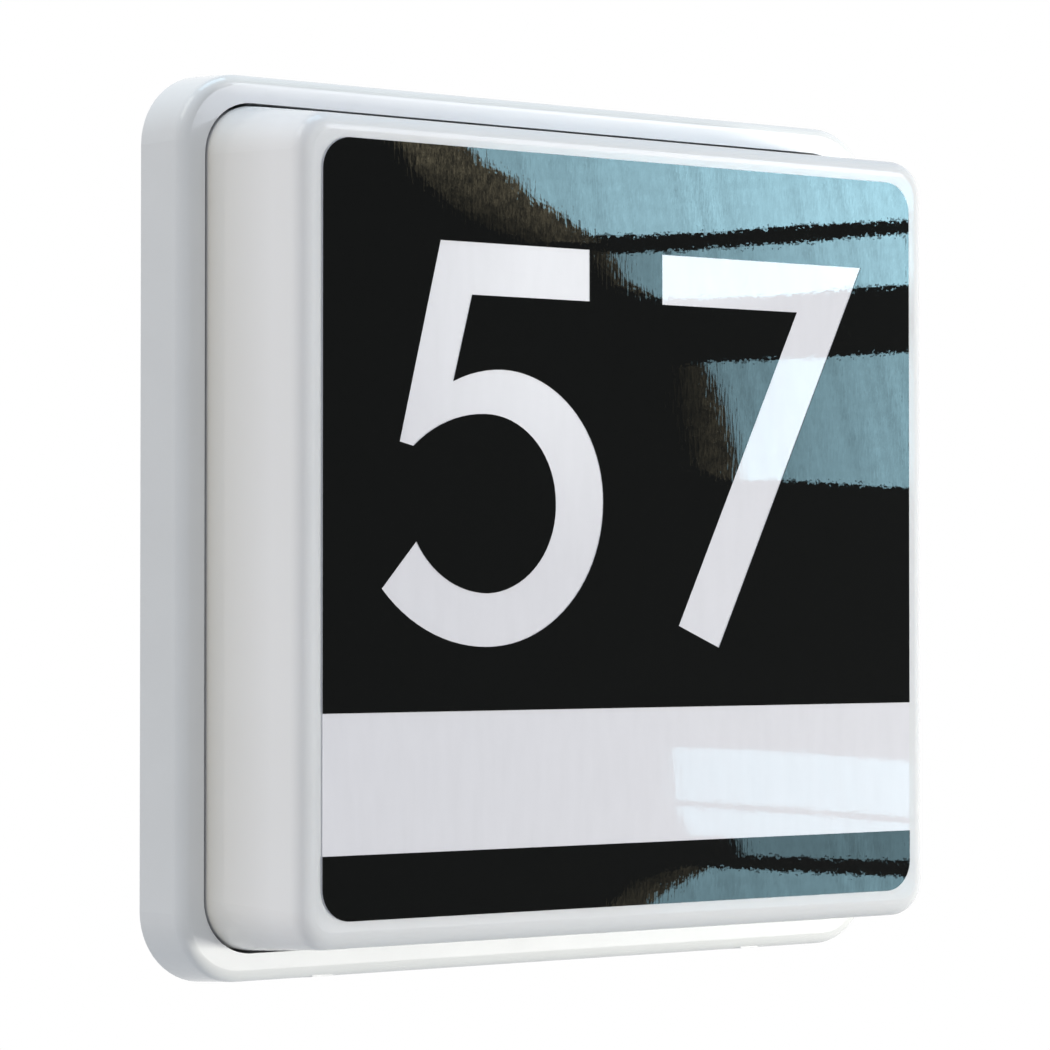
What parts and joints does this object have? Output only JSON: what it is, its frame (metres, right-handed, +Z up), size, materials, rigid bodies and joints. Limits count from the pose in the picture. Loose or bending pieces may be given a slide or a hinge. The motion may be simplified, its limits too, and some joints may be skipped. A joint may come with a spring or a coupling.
{
  "type": "illuminated house number sign",
  "caption": "Square wall-mounted house number lamp: shallow housing, deep opal diffuser that plugs into it, and black film with clear numerals on its face.",
  "frame": {"origin": "centre of the housing's back face, on the wall", "axes": "+X to the right and +Z up as one faces the sign, +Y into the wall; the sign stands out along -Y"},
  "size_m": [0.2276, 0.0534, 0.2276],
  "materials": {
    "housing_white": "gloss, moulded",
    "diffuser_opal": "satin opal",
    "backing_white": "gloss film",
    "film_black": "gloss film",
    "seal_foam": "closed-cell foam",
    "rubber_black": "matt",
    "tray_steel": "white powder coat",
    "steel": "zinc plated",
    "stainless": "plain",
    "board_white": "white solder mask on aluminium",
    "chip_yellow": "phosphor",
    "connector_white": "moulded",
    "driver_white": "fine texture",
    "circuit_green": "solder mask",
    "ferrite": "sintered, with a taped winding",
    "capacitor_sleeve": "shrunk sleeve",
    "terminal_grey": "moulded",
    "brass": "turned",
    "insulation_brown": "smooth",
    "insulation_blue": "smooth",
    "insulation_green_yellow": "striped",
    "insulation_red": "smooth",
    "insulation_black": "smooth",
    "insulation_white": "smooth"
  },
  "bodies": {
    "housing": {"base_housing": "housing_white", "wall_seal": "seal_foam", "skirt_gasket": "rubber_black", "cable_grommet": "rubber_black", "gear_tray": "tray_steel", "wire_bushing": "rubber_black", "led_chips": "chip_yellow", "board_connectors": "connector_white", "board_screws": "steel", "jumper_leads": "insulation_white", "tray_screws": "steel", "driver_case": "driver_white", "driver_lid": "driver_white", "driver_board": "circuit_green", "driver_transformer": "ferrite", "driver_capacitors": "capacitor_sleeve", "driver_screws": "steel", "terminal_block": "terminal_grey", "terminal_clamps": "brass", "terminal_screws": "steel", "terminal_fixing_screws": "steel", "cable_clamp": "terminal_grey", "cable_clamp_screws": "steel", "earth_lug": "brass", "earth_screw": "steel", "lock_inserts": "brass", "live_wire": "insulation_brown", "neutral_wire": "insulation_blue", "earth_wire": "insulation_green_yellow", "led_lead_positive": "insulation_red", "led_lead_negative": "insulation_black", "led_board_1": "board_white", "led_board_2": "board_white", "led_board_3": "board_white", "led_board_4": "board_white"},
    "diffuser": {"diffuser": "diffuser_opal", "backing_film": "backing_white", "number_film": "film_black", "footer_film": "film_black"},
    "lock_screw_left": {"lock_screw_left": "stainless", "lock_washer_left": "rubber_black"},
    "lock_screw_right": {"lock_screw_right": "stainless", "lock_washer_right": "rubber_black"}
  },
  "joints": [
    {"name": "diffuser_pull", "type": "slide", "parent": "housing", "child": "diffuser", "axis": [0, -1, 0], "range_m": [0, 0.04]},
    {"name": "lock_screw_left_out", "type": "slide", "parent": "housing", "child": "lock_screw_left", "axis": [0, 0, -1], "range_m": [0, 0.0028]},
    {"name": "lock_screw_right_out", "type": "slide", "parent": "housing", "child": "lock_screw_right", "axis": [0, 0, -1], "range_m": [0, 0.0028]}
  ]
}
